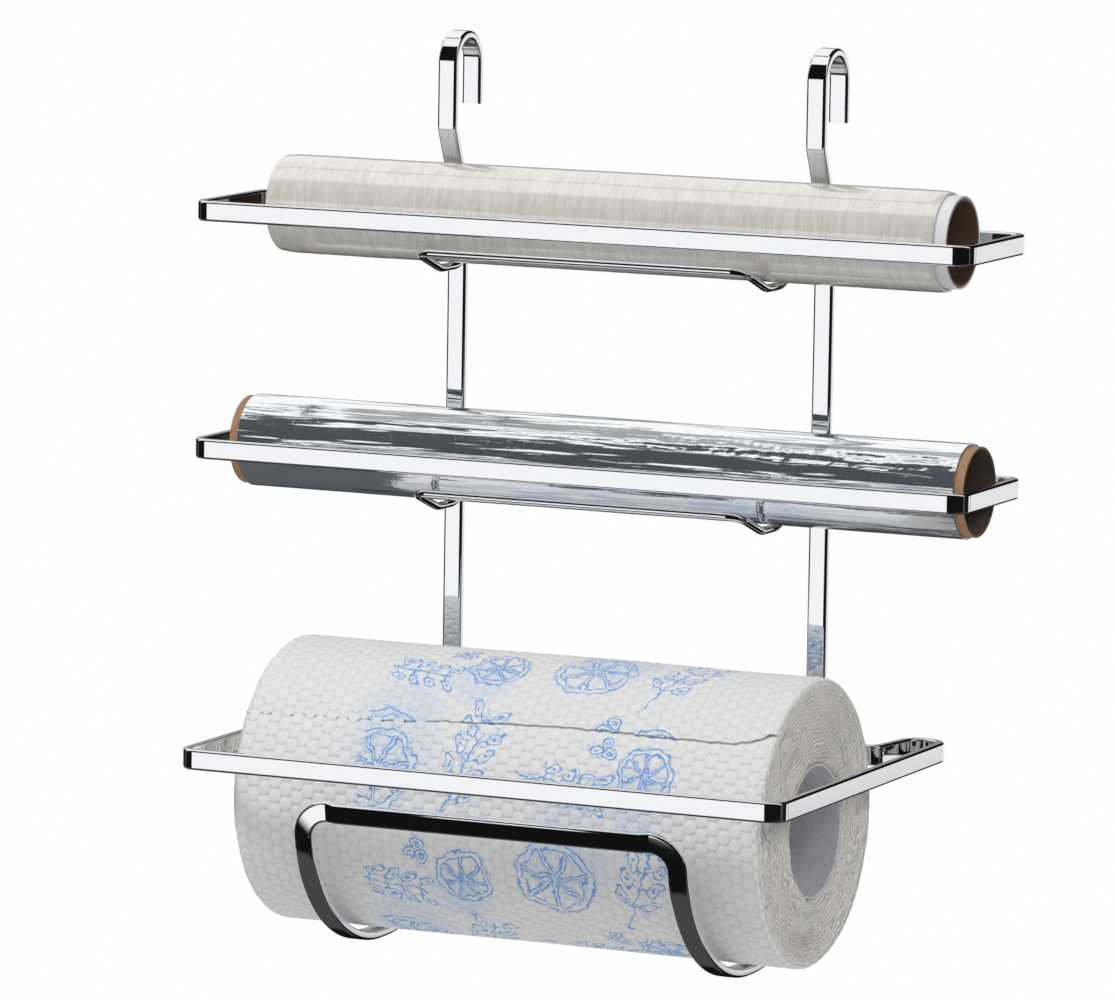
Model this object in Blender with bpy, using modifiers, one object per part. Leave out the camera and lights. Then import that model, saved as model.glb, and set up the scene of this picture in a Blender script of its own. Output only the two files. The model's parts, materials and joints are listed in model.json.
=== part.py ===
"""Roll holder of bent flat steel bar that hangs by two hooks.

It carries three rolls, one above the other: film, foil and paper. The origin is midway between
the hooks, at the underside of their arches. X runs along the rolls, Y points back to the wall.
"""
import math

import bpy
import bmesh
from mathutils import Matrix, Vector

MM = 0.001

# Stock that the holder is bent from
bar_width = 8.0 * MM
bar_thickness = 3.6 * MM
bar_edge_radius = 0.8 * MM
wire_diameter = 3.2 * MM

# Clearances
seat_gap = 0.3 * MM

# Hooks and uprights, measured down from the underside of the arches
hook_spacing = 158.0 * MM
hook_inner_radius = 9.5 * MM
hook_rear_leg = 26.2 * MM
hook_front_leg = 34.5 * MM
hook_set_back_angle = math.radians(24.0)
hook_kink_radius = 7.0 * MM

# Rings, each at its drop below the underside of the arches
slim_ring_width = 330.0 * MM
slim_ring_depth = 63.2 * MM
ring_corner_radius = 7.5 * MM
film_ring_drop = 67.7 * MM
foil_ring_drop = 162.3 * MM
paper_ring_drop = 271.9 * MM
paper_ring_width = 254.0 * MM
paper_ring_reach = 145.4 * MM

# Ears of the paper ring, which keep the holder off the wall
ear_reach = 26.1 * MM
ear_radius = 9.6 * MM
ear_lean = math.radians(10.0)
ear_root_radius = 5.5 * MM

# Wire cradles under the film and the foil
wire_spacing = 139.2 * MM
wire_drop = 20.0 * MM
wire_top_inset = 1.0 * MM
wire_bend_radius = 17.0 * MM
wire_floor = 8.5 * MM
wire_reach = 50.4 * MM
wire_ramp_angle = math.radians(20.0)
wire_corner_radius = 6.0 * MM

# Paper cradle, bent from the same bar as the uprights
cradle_drop = 283.6 * MM
cradle_bend_radius = 65.0 * MM
cradle_floor = 5.0 * MM
cradle_lip_tilt = math.radians(15.0)
cradle_corner_radius = 11.0 * MM
cradle_tail = 3.0 * MM

# Film roll, whose core stands out at the right end alone
slim_roll_room = 0.6 * MM
film_radius = 19.7 * MM
film_end_play = 19.7 * MM
film_bare_core = 5.2 * MM
film_core_recess = 0.5 * MM
film_wound_depth = 1.4 * MM
film_sleeve_thickness = 0.6 * MM
film_board_thickness = 1.2 * MM
film_shift = 1.0 * MM

# Foil roll
foil_radius = 18.7 * MM
foil_core_end_play = 4.6 * MM
foil_bare_core = 3.9 * MM
foil_wound_depth = 0.8 * MM
foil_board_thickness = 1.2 * MM
foil_shift = 0.4 * MM

# Paper roll
paper_roll_room = 6.3 * MM
paper_end_play = 11.4 * MM
paper_shift = -4.5 * MM
paper_lap = 0.7 * MM
paper_lap_angle = math.radians(143.0)
paper_core_radius = 26.3 * MM
paper_core_sag = 3.0 * MM
paper_board_thickness = 1.1 * MM
paper_core_recess = 1.0 * MM
paper_groove = 0.45 * MM
paper_groove_lift = 0.1 * MM
paper_groove_turns = 12

# Fineness of round shapes, in degrees a step or steps a turn
flat_angle = math.radians(0.05)
bend_step = math.radians(12.0)
arch_step = math.radians(6.0)
section_steps = 2
roll_steps = 64
core_steps = 48
groove_steps = 24

# Sizes that follow from the ones above
bar_half = bar_thickness / 2
wire_radius = wire_diameter / 2
hook_line_radius = hook_inner_radius + bar_half
ring_back_y = -(bar_half + seat_gap + bar_half)
wire_rear_y = ring_back_y - bar_half - seat_gap - wire_radius
slim_roll_y = wire_rear_y - wire_radius - slim_roll_room - max(film_radius, foil_radius)
cradle_y = -cradle_bend_radius
cradle_inner_radius = cradle_bend_radius - bar_half
paper_radius = cradle_inner_radius - paper_roll_room
paper_roll_drop = cradle_drop + cradle_inner_radius - seat_gap - paper_radius
slim_inner_width = slim_ring_width - 2 * bar_thickness
film_length = slim_inner_width - 2 * film_end_play
foil_core_length = slim_inner_width - 2 * foil_core_end_play
paper_length = paper_ring_width - 2 * bar_thickness - 2 * paper_end_play


def clear_scene():
    for old in list(bpy.data.objects):
        bpy.data.objects.remove(old, do_unlink=True)


def make_collection(name):
    collection = bpy.data.collections.new(name)
    bpy.context.scene.collection.children.link(collection)
    return collection


def make_material(name, colour, roughness, metallic):
    material = bpy.data.materials.new(name)
    material.use_nodes = True
    shader = material.node_tree.nodes["Principled BSDF"]
    shader.inputs["Base Color"].default_value = (*colour, 1.0)
    shader.inputs["Roughness"].default_value = roughness
    shader.inputs["Metallic"].default_value = metallic
    material.diffuse_color = (*colour, 1.0)
    return material


def rounded_path(corners, radii, closed=False, step=bend_step):
    """Points of a path through corners, with each corner rounded to its radius."""
    points = []
    count = len(corners)
    for index, corner in enumerate(corners):
        radius = radii[index]
        if radius == 0:
            points.append(corner.copy())
            continue
        before = (corners[index - 1] - corner).normalized()
        after = (corners[(index + 1) % count] - corner).normalized()
        turn = math.pi - before.angle(after)
        tangent = radius * math.tan(turn / 2)
        centre = corner + (before + after).normalized() * (radius / math.cos(turn / 2))
        start = corner + before * tangent - centre
        axis = start.cross(corner + after * tangent - centre).normalized()
        steps = max(2, math.ceil(turn / step))
        for number in range(steps + 1):
            rotation = Matrix.Rotation(turn * number / steps, 3, axis)
            points.append(centre + rotation @ start)
    kept = [points[0]]
    for point in points[1:]:
        if (point - kept[-1]).length > seat_gap:
            kept.append(point)
    if closed and (kept[0] - kept[-1]).length < seat_gap:
        kept.pop()
    return kept


def rounded_section(width, thickness, radius):
    """Outline of the bar's section, with its width along Y."""
    outline = []
    for corner, (side_x, side_y) in enumerate([(1, 1), (-1, 1), (-1, -1), (1, -1)]):
        for number in range(section_steps + 1):
            angle = math.pi / 2 * (corner + number / section_steps)
            x = side_x * (thickness / 2 - radius) + radius * math.cos(angle)
            y = side_y * (width / 2 - radius) + radius * math.sin(angle)
            outline.append(Vector((x, y, 0)))
    return outline


def new_curve(name, points, closed, dimensions="3D"):
    data = bpy.data.curves.new(name, "CURVE")
    data.dimensions = dimensions
    spline = data.splines.new("POLY")
    spline.points.add(len(points) - 1)
    for place, point in zip(spline.points, points):
        place.co = (*point, 1.0)
    spline.use_cyclic_u = closed
    return data


def curve_to_object(name, data, collection, material, origin=Vector((0, 0, 0))):
    """Turn a curve into a mesh object whose origin is at the given place."""
    source = bpy.data.objects.new(name + "_curve", data)
    collection.objects.link(source)
    bpy.context.view_layer.update()
    evaluated = source.evaluated_get(bpy.context.evaluated_depsgraph_get())
    mesh = bpy.data.meshes.new_from_object(evaluated)
    mesh.name = name
    bpy.data.objects.remove(source, do_unlink=True)
    bpy.data.curves.remove(data)
    tidy = bmesh.new()
    tidy.from_mesh(mesh)
    bmesh.ops.remove_doubles(tidy, verts=tidy.verts, dist=seat_gap / 100)
    bmesh.ops.dissolve_limit(tidy, angle_limit=flat_angle, verts=tidy.verts, edges=tidy.edges)
    bmesh.ops.translate(tidy, verts=tidy.verts, vec=-origin)
    bmesh.ops.recalc_face_normals(tidy, faces=tidy.faces)
    tidy.to_mesh(mesh)
    tidy.free()
    return finish_object(name, mesh, collection, material, origin)


def finish_object(name, mesh, collection, material, origin):
    mesh.materials.clear()
    mesh.materials.append(material)
    mesh.shade_smooth()
    mesh.set_sharp_from_angle(angle=math.radians(50.0))
    piece = bpy.data.objects.new(name, mesh)
    piece.location = origin
    collection.objects.link(piece)
    return piece


def bent_bar(name, points, closed, collection, material, tilt=0.0):
    """Sweep the flat bar's section along its centre line."""
    outline = rounded_section(bar_width, bar_thickness, bar_edge_radius)
    section_data = new_curve(name + "_section", outline, True, "2D")
    section = bpy.data.objects.new(name + "_section", section_data)
    collection.objects.link(section)
    data = new_curve(name, points, closed)
    data.twist_mode = "MINIMUM"
    data.bevel_mode = "OBJECT"
    data.bevel_object = section
    data.use_fill_caps = not closed
    for place in data.splines[0].points:
        place.tilt = tilt
    piece = curve_to_object(name, data, collection, material)
    bpy.data.objects.remove(section, do_unlink=True)
    bpy.data.curves.remove(section_data)
    return piece


def bent_wire(name, points, collection, material):
    data = new_curve(name, points, False)
    data.bevel_depth = wire_radius
    data.bevel_resolution = 2
    data.use_fill_caps = True
    return curve_to_object(name, data, collection, material)


def tube(name, inner, outer, length, origin, collection, material, shift=Vector((0, 0, 0))):
    """Turned tube along X: its profile is spun round Z, laid down, and shifted from its origin."""
    mesh = bpy.data.meshes.new(name)
    profile = bmesh.new()
    places = [(inner, length / 2), (outer, length / 2), (outer, -length / 2), (inner, -length / 2)]
    corners = [profile.verts.new((radius, 0, height)) for radius, height in places]
    for index, corner in enumerate(corners):
        profile.edges.new((corner, corners[(index + 1) % len(corners)]))
    profile.to_mesh(mesh)
    profile.free()
    piece = bpy.data.objects.new(name, mesh)
    collection.objects.link(piece)
    screw = piece.modifiers.new("Turn", "SCREW")
    screw.steps = core_steps
    screw.render_steps = core_steps
    screw.use_merge_vertices = True
    screw.merge_threshold = seat_gap / 100
    screw.use_normal_calculate = True
    bpy.context.view_layer.update()
    evaluated = piece.evaluated_get(bpy.context.evaluated_depsgraph_get())
    turned = bpy.data.meshes.new_from_object(evaluated)
    bpy.data.objects.remove(piece, do_unlink=True)
    turned.transform(Matrix.Translation(shift) @ Matrix.Rotation(math.pi / 2, 4, "Y"))
    tidy = bmesh.new()
    tidy.from_mesh(turned)
    bmesh.ops.recalc_face_normals(tidy, faces=tidy.faces)
    tidy.to_mesh(turned)
    tidy.free()
    turned.name = name
    return finish_object(name, turned, collection, material, origin)


def make_upright(name, side, collection, material):
    """Hook, kinked leg and straight upright, bent from one bar."""
    x = side * hook_spacing / 2
    set_back = hook_line_radius / math.tan(hook_set_back_angle)
    profile = [
        (hook_line_radius, -hook_rear_leg, 0),
        (hook_line_radius, bar_half, hook_line_radius),
        (-hook_line_radius, bar_half, hook_line_radius),
        (-hook_line_radius, -hook_front_leg, hook_kink_radius),
        (0, -hook_front_leg - set_back, hook_kink_radius),
        (0, -cradle_drop + cradle_tail + seat_gap / 2, 0),
    ]
    corners = [Vector((x, y, z)) for y, z, radius in profile]
    points = rounded_path(corners, [radius for y, z, radius in profile], step=arch_step)
    return bent_bar(name, points, False, collection, material, tilt=math.pi / 2)


def make_slim_ring(name, drop, collection, material):
    """Closed ring round a slim roll, with its front bar as the tear edge."""
    x = slim_ring_width / 2 - bar_half
    front = ring_back_y - slim_ring_depth + bar_thickness
    places = [(-x, front), (x, front), (x, ring_back_y), (-x, ring_back_y)]
    corners = [Vector((px, py, -drop)) for px, py in places]
    radii = [ring_corner_radius - bar_half] * len(corners)
    points = rounded_path(corners, radii, closed=True)
    return bent_bar(name, points, True, collection, material)


def make_paper_ring(collection, material):
    """Deep ring with an ear at each rear corner that rests against the wall."""
    side_x = paper_ring_width / 2 - bar_half
    front = ring_back_y + bar_half - paper_ring_reach + bar_half
    ear_y = ring_back_y + bar_half + ear_reach - bar_half
    ear_line_radius = ear_radius - bar_half
    half_turn = (math.pi / 2 - ear_lean) / 2
    ear_x = side_x - ear_line_radius * (1 + math.tan(half_turn))
    root_x = ear_x - (ear_y - ring_back_y) * math.tan(ear_lean)
    right = [
        (side_x, front, ring_corner_radius - bar_half),
        (side_x, ear_y, ear_line_radius),
        (ear_x, ear_y, ear_line_radius),
        (root_x, ring_back_y, ear_root_radius - bar_half),
    ]
    left = [(-x, y, radius) for x, y, radius in reversed(right)]
    outline = right + left
    corners = [Vector((x, y, -paper_ring_drop)) for x, y, radius in outline]
    points = rounded_path(corners, [radius for x, y, radius in outline], closed=True)
    return bent_bar("paper_ring", points, True, collection, material)


def make_wire_cradle(name, drop, collection, material):
    """Wire loop hung from the ring's back bar, with two legs under the roll and a lip in front."""
    x = wire_spacing / 2
    low = -drop - wire_drop
    ramp_start = wire_rear_y - wire_bend_radius - wire_floor
    ramp_start -= wire_bend_radius * math.tan(wire_ramp_angle / 2)
    lip_y = wire_rear_y - wire_reach
    lip_rise = (ramp_start - lip_y) * math.tan(wire_ramp_angle)
    leg = [
        (wire_rear_y, -drop + bar_width / 2 - wire_top_inset, 0),
        (wire_rear_y, low, wire_bend_radius),
        (ramp_start, low, wire_bend_radius),
        (lip_y, low + lip_rise, wire_corner_radius),
    ]
    left = [Vector((-x, y, z)) for y, z, radius in leg]
    right = [Vector((x, y, z)) for y, z, radius in reversed(leg)]
    radii = [radius for y, z, radius in leg]
    points = rounded_path(left + right, radii + radii[::-1], step=bend_step)
    return bent_wire(name, points, collection, material)


def make_paper_cradle(collection, material):
    """Flat bar bent flatwise under the roll, then edgewise into a bar across its front."""
    x = hook_spacing / 2
    low = -cradle_drop - cradle_bend_radius
    up_y = -math.sin(cradle_lip_tilt)
    up_z = math.cos(cradle_lip_tilt)
    end_y = cradle_y - cradle_floor - cradle_bend_radius * math.cos(cradle_lip_tilt)
    end_z = -cradle_drop - cradle_bend_radius * math.sin(cradle_lip_tilt)
    fall = (end_z - low) / up_z
    arm = [
        (0, -cradle_drop + cradle_tail - seat_gap / 2, 0),
        (0, low, cradle_bend_radius),
        (end_y - fall * up_y, low, cradle_bend_radius),
        (end_y + cradle_corner_radius * up_y, end_z + cradle_corner_radius * up_z, cradle_corner_radius),
    ]
    left = [Vector((-x, y, z)) for y, z, radius in arm]
    right = [Vector((x, y, z)) for y, z, radius in reversed(arm)]
    radii = [radius for y, z, radius in arm]
    points = rounded_path(left + right, radii + radii[::-1], step=arch_step)
    return bent_bar("paper_cradle", points, False, collection, material, tilt=math.pi / 2)


def spiral_groove(name, side, collection):
    """Cutter that follows the edges of the wound sheet on one end of the paper roll."""
    inner = paper_core_radius + seat_gap
    depth = paper_radius - paper_lap - inner
    pitch = depth / (paper_groove_turns + 1)
    steps = paper_groove_turns * groove_steps
    end = side * (paper_length / 2 + paper_groove_lift)
    points = []
    for number in range(steps + 1):
        turn = number / groove_steps
        radius = inner + pitch * (1 / 2 + turn)
        sag = paper_core_sag * (1 - (radius - inner) / depth)
        angle = 2 * math.pi * turn
        points.append(Vector((end, radius * math.cos(angle), radius * math.sin(angle) - sag)))
    gaps = [(points[n + groove_steps] - points[n]).length for n in range(steps - groove_steps)]
    print(name, "least gap between turns in mm:", round((min(gaps) - 2 * paper_groove) / MM, 3))
    data = new_curve(name, points, False)
    data.bevel_depth = paper_groove
    data.bevel_resolution = 0
    data.use_fill_caps = True
    return curve_to_object(name, data, collection, None)


def make_paper_winding(origin, collection, cutters, material):
    """Wound sheet: each turn lies on the last, so the outside has one step where the sheet ends."""
    outline = []
    for number in range(roll_steps + 1):
        share = number / roll_steps
        angle = paper_lap_angle + 2 * math.pi * share
        radius = paper_radius - paper_lap * (1 - share)
        outline.append(Vector((radius * math.cos(angle), radius * math.sin(angle), 0)))
    data = new_curve("paper_winding", outline, True, "2D")
    bore = data.splines.new("POLY")
    bore.points.add(core_steps - 1)
    inner = paper_core_radius + seat_gap
    for number, place in enumerate(bore.points):
        angle = 2 * math.pi * number / core_steps
        place.co = (inner * math.cos(angle), inner * math.sin(angle) - paper_core_sag, 0, 1)
    bore.use_cyclic_u = True
    data.fill_mode = "BOTH"
    data.extrude = paper_length / 2
    piece = curve_to_object("paper_winding", data, collection, material)
    lay_down = Matrix(((0, 0, 1, 0), (1, 0, 0, 0), (0, 1, 0, 0), (0, 0, 0, 1)))
    piece.data.transform(lay_down)
    piece.location = origin
    for side, end in ((-1, "left"), (1, "right")):
        cutter = spiral_groove(end + "_end_groove", side, cutters)
        cutter.location = origin
        cutter.hide_render = True
        cutter.display_type = "WIRE"
        cut = piece.modifiers.new(end + "_end_groove", "BOOLEAN")
        cut.operation = "DIFFERENCE"
        cut.solver = "EXACT"
        cut.object = cutter
    return piece


def make_film_roll(collection, board, liner, film):
    drop = film_ring_drop + wire_drop - wire_radius - seat_gap - film_radius
    centre = Vector((film_shift, slim_roll_y, -drop))
    wound_inner = film_radius - film_wound_depth
    sleeve_outer = wound_inner - seat_gap
    sleeve_inner = sleeve_outer - film_sleeve_thickness
    board_outer = sleeve_inner - seat_gap
    board_inner = board_outer - film_board_thickness
    core_length = film_length - film_core_recess + film_bare_core
    core_shift = Vector(((film_bare_core + film_core_recess) / 2, 0, 0))
    tube("film_core", board_inner, board_outer, core_length, centre, collection, board, core_shift)
    tube("film_core_sleeve", sleeve_inner, sleeve_outer, core_length, centre, collection, liner, core_shift)
    tube("film_winding", wound_inner, film_radius, film_length, centre, collection, film)


def make_foil_roll(collection, board, foil):
    drop = foil_ring_drop + wire_drop - wire_radius - seat_gap - foil_radius
    centre = Vector((foil_shift, slim_roll_y, -drop))
    wound_inner = foil_radius - foil_wound_depth
    board_outer = wound_inner - seat_gap
    board_inner = board_outer - foil_board_thickness
    wound_length = foil_core_length - 2 * foil_bare_core
    tube("foil_core", board_inner, board_outer, foil_core_length, centre, collection, board)
    tube("foil_winding", wound_inner, foil_radius, wound_length, centre, collection, foil)


def make_paper_roll(collection, cutters, board, paper):
    centre = Vector((paper_shift, cradle_y, -paper_roll_drop))
    core_inner = paper_core_radius - paper_board_thickness
    core_length = paper_length - 2 * paper_core_recess
    sag = Vector((0, 0, -paper_core_sag))
    tube("paper_core", core_inner, paper_core_radius, core_length, centre, collection, board, sag)
    make_paper_winding(centre, collection, cutters, paper)


def main():
    clear_scene()
    holder = make_collection("roll_holder")
    cutters = make_collection("cutters")
    chrome = make_material("chrome_bar", (0.83, 0.84, 0.86), 0.06, 1.0)
    wire_chrome = make_material("chrome_wire", (0.80, 0.81, 0.84), 0.08, 1.0)
    film_board = make_material("film_core_board", (0.30, 0.21, 0.16), 0.85, 0.0)
    film_liner = make_material("film_core_liner", (0.82, 0.82, 0.83), 0.6, 0.0)
    film = make_material("cling_film", (0.72, 0.70, 0.66), 0.18, 0.0)
    foil_board = make_material("foil_core_board", (0.38, 0.29, 0.22), 0.85, 0.0)
    foil = make_material("aluminium_foil", (0.78, 0.78, 0.79), 0.25, 1.0)
    paper_board = make_material("paper_core_board", (0.62, 0.61, 0.62), 0.85, 0.0)
    paper = make_material("kitchen_paper", (0.86, 0.86, 0.87), 0.9, 0.0)
    make_upright("left_upright", -1, holder, chrome)
    make_upright("right_upright", 1, holder, chrome)
    make_slim_ring("film_ring", film_ring_drop, holder, chrome)
    make_slim_ring("foil_ring", foil_ring_drop, holder, chrome)
    make_paper_ring(holder, chrome)
    make_wire_cradle("film_cradle", film_ring_drop, holder, wire_chrome)
    make_wire_cradle("foil_cradle", foil_ring_drop, holder, wire_chrome)
    make_paper_cradle(holder, chrome)
    make_film_roll(holder, film_board, film_liner, film)
    make_foil_roll(holder, foil_board, foil)
    make_paper_roll(holder, cutters, paper_board, paper)


main()
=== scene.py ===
# %% [markdown]
# # A hanging roll holder for the kitchen
# The holder is bent from chromed steel bar: hooks run down into uprights, and three open rings
# with cradles below them carry film, foil and paper. The solids come in as a fixed frame. Each
# piece here is built where its solid is, finer than the solid, and rides on the same body.

# %% Load the frame
import math

import bpy
import numpy as np
from mathutils import Matrix, Vector
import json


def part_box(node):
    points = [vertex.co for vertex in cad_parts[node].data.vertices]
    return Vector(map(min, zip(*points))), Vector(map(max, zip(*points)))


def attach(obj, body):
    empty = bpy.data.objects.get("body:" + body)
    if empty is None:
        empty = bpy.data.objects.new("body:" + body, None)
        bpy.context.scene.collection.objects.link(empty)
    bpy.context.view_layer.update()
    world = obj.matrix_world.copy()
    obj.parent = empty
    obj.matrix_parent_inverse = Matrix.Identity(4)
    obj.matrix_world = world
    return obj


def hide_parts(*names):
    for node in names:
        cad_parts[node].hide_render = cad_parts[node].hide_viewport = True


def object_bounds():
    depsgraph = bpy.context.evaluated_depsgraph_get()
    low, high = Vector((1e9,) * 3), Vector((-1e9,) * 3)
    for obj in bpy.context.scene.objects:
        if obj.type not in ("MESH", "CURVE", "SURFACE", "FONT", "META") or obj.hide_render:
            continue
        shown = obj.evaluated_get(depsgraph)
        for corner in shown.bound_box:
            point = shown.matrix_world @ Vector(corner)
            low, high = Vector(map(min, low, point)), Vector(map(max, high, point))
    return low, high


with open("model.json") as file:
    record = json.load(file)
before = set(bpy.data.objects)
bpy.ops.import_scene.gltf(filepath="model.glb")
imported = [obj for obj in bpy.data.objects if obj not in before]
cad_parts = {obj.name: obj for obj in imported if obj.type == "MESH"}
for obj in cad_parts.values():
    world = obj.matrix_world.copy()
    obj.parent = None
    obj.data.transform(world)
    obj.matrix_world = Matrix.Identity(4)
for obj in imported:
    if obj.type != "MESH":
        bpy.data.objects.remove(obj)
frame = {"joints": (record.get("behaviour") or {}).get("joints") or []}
solids_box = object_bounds()
MM = 0.001
print("box of the solids in metres:", solids_box)

# %% [markdown]
# The camera comes first, because every other choice is judged through it. A long lens from three
# metres away keeps the rolls almost parallel, as in a catalogue picture. Its place is an azimuth,
# an elevation and a distance from the point it aims at, which are easier to tune than a matrix.

# %% Camera
camera_azimuth = math.radians(24.45)
camera_elevation = math.radians(7.5)
camera_roll = math.radians(0.93)
camera_distance = 3.061
camera_lens = 250.3
camera_aim = Vector((-0.0261, -0.0171, -0.1788))


def turned_axes(azimuth, elevation, roll):
    """The camera's right, up and backward directions."""
    backward = Vector((
        math.sin(azimuth) * math.cos(elevation),
        -math.cos(azimuth) * math.cos(elevation),
        math.sin(elevation),
    ))
    level = Vector((math.cos(azimuth), math.sin(azimuth), 0))
    lean = Matrix.Rotation(roll, 3, backward)
    right = lean @ level
    return right, backward.cross(right), backward


def make_camera():
    right, up, backward = turned_axes(camera_azimuth, camera_elevation, camera_roll)
    place = camera_aim + backward * camera_distance
    bpy.ops.object.camera_add()
    camera = bpy.context.object
    camera.name = "portrait_camera"
    camera.data.lens = camera_lens
    camera.data.clip_end = 50.0
    axes = Matrix((right, up, backward)).transposed().to_4x4()
    camera.matrix_world = Matrix.Translation(place) @ axes
    bpy.context.scene.camera = camera
    return camera


camera = make_camera()
print("camera at", tuple(round(v, 3) for v in camera.location))

# %% [markdown]
# Materials here are networks of nodes, and small helpers keep them short to read. The first adds
# any node and fills or links its inputs. The second links results to a node by its inputs' names.

# %% Adding nodes
def add_node(tree, kind, inputs=None, **settings):
    """Add a node; each input is given a value, or a link if it is another node's output."""
    node = tree.nodes.new(kind)
    for name, value in settings.items():
        setattr(node, name, value)
    for place, value in (inputs or {}).items():
        if isinstance(value, bpy.types.NodeSocket):
            tree.links.new(value, node.inputs[place])
        else:
            node.inputs[place].default_value = value
    return node


def plug_in(tree, node, values):
    """Link results to a node's inputs, each by the input's name."""
    for socket, value in values.items():
        tree.links.new(value, node.inputs[socket])


# %% [markdown]
# Most of a pattern is plain arithmetic on places, which Math nodes do, one step each. These
# shorthands name the steps.

# %% Sums of nodes
def sum_of(tree, operation, *values):
    """A Math node's result."""
    return add_node(tree, "ShaderNodeMath", dict(enumerate(values)), operation=operation).outputs[0]


def plus(tree, *values):
    return sum_of(tree, "ADD", *values)


def minus(tree, *values):
    return sum_of(tree, "SUBTRACT", *values)


def times(tree, *values):
    return sum_of(tree, "MULTIPLY", *values)


def times_plus(tree, *values):
    """The first value times the second, plus the third."""
    return sum_of(tree, "MULTIPLY_ADD", *values)


def larger(tree, *values):
    return sum_of(tree, "MAXIMUM", *values)


def length_of(tree, place):
    return add_node(tree, "ShaderNodeVectorMath", {0: place}, operation="LENGTH").outputs["Value"]


def parts_of(tree, place):
    """A place's X, Y and Z."""
    return add_node(tree, "ShaderNodeSeparateXYZ", {0: place}).outputs


# %% [markdown]
# A ramp turns a distance or an angle into a mask with a soft edge. Two ramps, one up and one down,
# make a window, and windows draw nearly everything here: panels of light, margins, shadows.

# %% Ramps
def ramp_between(tree, value, low, high, start=0.0, end=1.0):
    """Go smoothly from start to end as the value goes from low to high."""
    inputs = {"Value": value, "From Min": low, "From Max": high, "To Min": start, "To Max": end}
    node = add_node(tree, "ShaderNodeMapRange", inputs, interpolation_type="SMOOTHSTEP")
    return node.outputs["Result"]


def step_at(tree, value, edge, soft, start=0.0, end=1.0):
    """Go from start to end across one soft edge."""
    return ramp_between(tree, value, edge - soft, edge + soft, start, end)


def window(tree, value, low, high, soft):
    """One between low and high, nought outside, with soft edges."""
    rise = step_at(tree, value, low, soft)
    fall = step_at(tree, value, high, soft, 1.0, 0.0)
    return times(tree, rise, fall)


# %% [markdown]
# A material starts from its shader's own sockets, for all that is the same everywhere on the
# surface. What changes over the surface is worked out from the place on the piece.

# %% Material helpers
def new_material(name, constants):
    """A material, its nodes and its shader, whose own sockets hold the constants."""
    material = bpy.data.materials.new(name)
    material.use_nodes = True
    tree = material.node_tree
    shader = tree.nodes["Principled BSDF"]
    for socket, value in constants.items():
        shader.inputs[socket].default_value = value
    return material, tree, shader


def object_place(tree):
    return add_node(tree, "ShaderNodeTexCoord").outputs["Object"]


def noise(tree, place, scale, detail=2.0):
    """Soft noise between nought and one; a larger scale is finer."""
    inputs = {"Vector": place, "Scale": scale, "Detail": detail}
    return add_node(tree, "ShaderNodeTexNoise", inputs).outputs["Fac"]


def bump_of(tree, height, strength, distance):
    inputs = {"Height": height, "Strength": strength, "Distance": distance}
    return add_node(tree, "ShaderNodeBump", inputs).outputs[0]


def mix_shaders(tree, share, first, second):
    """Set a mix of two shaders as the material's surface."""
    blend = add_node(tree, "ShaderNodeMixShader", {0: share, 1: first.outputs[0], 2: second.outputs[0]})
    plug_in(tree, tree.nodes["Material Output"], {"Surface": blend.outputs[0]})


# %% [markdown]
# Chrome has no colour of its own: it shows the room. A studio for chrome is therefore mostly dark,
# with a few white panels where the flat faces look. The world shader holds those panels, each as a
# window of sideways place and pitch, where 0 is level in front, 90 overhead and 180 level behind. A
# card in front on the left serves the front faces, a strip hangs overhead, and a white sweep stands
# behind, with a dark gap on the left so that the tops of the rolls stand out. Two more panels low
# behind light the faces that look back. Rays from matt surfaces see an even soft grey instead, and
# the camera sees plain white.

# %% World
card_side = (-0.60, -0.26)
card_pitch = (-28.0, 10.0)
overhead_pitch = (63.0, 98.0)
sweep_side = (-0.78, 0.54)
sweep_low_pitch = -166.0
sweep_left_top = 102.0
sweep_right_top = 179.0
sweep_slope = (-0.34, -0.12)
rear_side = (0.60, 0.80)
rear_pitch = -146.0
gap_side = (-0.2, -0.1)
gap_pitch = (157.0, -160.0)
gap_level = 0.3
ground_pitch = (-132.0, -52.0)
ground_level = 0.055
panel_softness = 2.0
low_softness = 6.0
ground_softness = 4.0
side_softness = 0.03
panel_level = 0.985
right_side = (0.1, 0.3)
right_level = 0.85
dark_level = 0.006
soft_grey = 0.42


def make_panels(tree, side, pitch):
    """How bright the white panels are in each direction."""
    card = window(tree, side, *card_side, side_softness)
    card = times(tree, card, window(tree, pitch, *card_pitch, panel_softness))
    overhead = window(tree, pitch, *overhead_pitch, panel_softness)
    top = ramp_between(tree, side, *sweep_slope, sweep_left_top, sweep_right_top)
    above = step_at(tree, minus(tree, pitch, top), 0.0, panel_softness)
    below = step_at(tree, pitch, sweep_low_pitch, low_softness, 1.0, 0.0)
    sweep = larger(tree, above, below)
    sweep = times(tree, sweep, window(tree, side, *sweep_side, side_softness))
    gap_above = step_at(tree, pitch, gap_pitch[0], panel_softness)
    gap_below = step_at(tree, pitch, gap_pitch[1], panel_softness, 1.0, 0.0)
    gap = larger(tree, gap_above, gap_below)
    gap = times(tree, gap, ramp_between(tree, side, *gap_side, 1.0, 0.0))
    sweep = times(tree, sweep, ramp_between(tree, gap, 0.0, 1.0, 1.0, gap_level))
    rear = step_at(tree, pitch, rear_pitch, low_softness, 1.0, 0.0)
    either_side = sum_of(tree, "ABSOLUTE", side)
    rear = times(tree, rear, window(tree, either_side, *rear_side, side_softness))
    panels = larger(tree, larger(tree, larger(tree, card, overhead), sweep), rear)
    return times(tree, panels, ramp_between(tree, side, *right_side, 1.0, right_level))


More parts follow.
